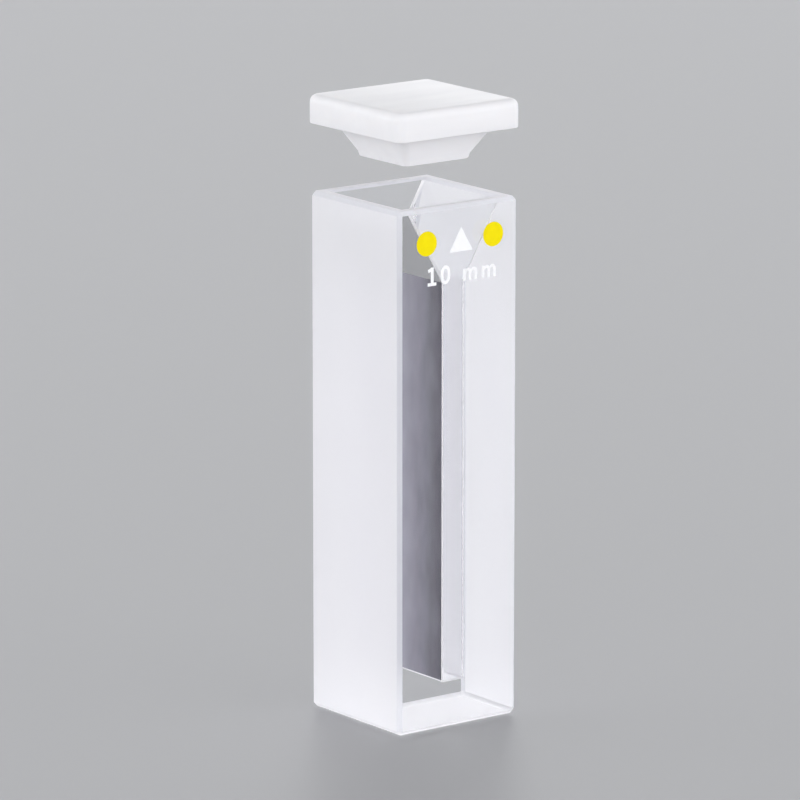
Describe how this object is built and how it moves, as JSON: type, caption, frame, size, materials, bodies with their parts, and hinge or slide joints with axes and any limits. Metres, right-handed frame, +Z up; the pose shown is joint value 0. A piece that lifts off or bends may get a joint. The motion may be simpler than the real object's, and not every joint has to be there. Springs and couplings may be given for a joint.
{
  "type": "cuvette",
  "caption": "Narrow-chamber quartz cuvette with a funnel mouth, polished windows, ground sides and a square drop-in lid.",
  "frame": {"origin": "middle of the cell's underside, on the surface that it stands on", "axes": "+Z up along the cell, +Y along the light path from the front window to the back one, +X across the chamber towards the right side wall"},
  "size_m": [0.013, 0.013, 0.0533],
  "materials": {
    "polished_quartz": "polished clear",
    "ground_quartz": "finely ground, frosted",
    "white_fluoropolymer": "satin white"
  },
  "bodies": {
    "cell": {"front_window": "polished_quartz", "back_window": "polished_quartz", "left_wall": "ground_quartz", "right_wall": "ground_quartz", "base_block": "polished_quartz"},
    "lid": {"lid": "white_fluoropolymer"}
  },
  "joints": [
    {"name": "lid_lift", "type": "slide", "parent": "cell", "child": "lid", "axis": [0, 0, 1], "range_m": [-0.0058, 0.0142]}
  ]
}
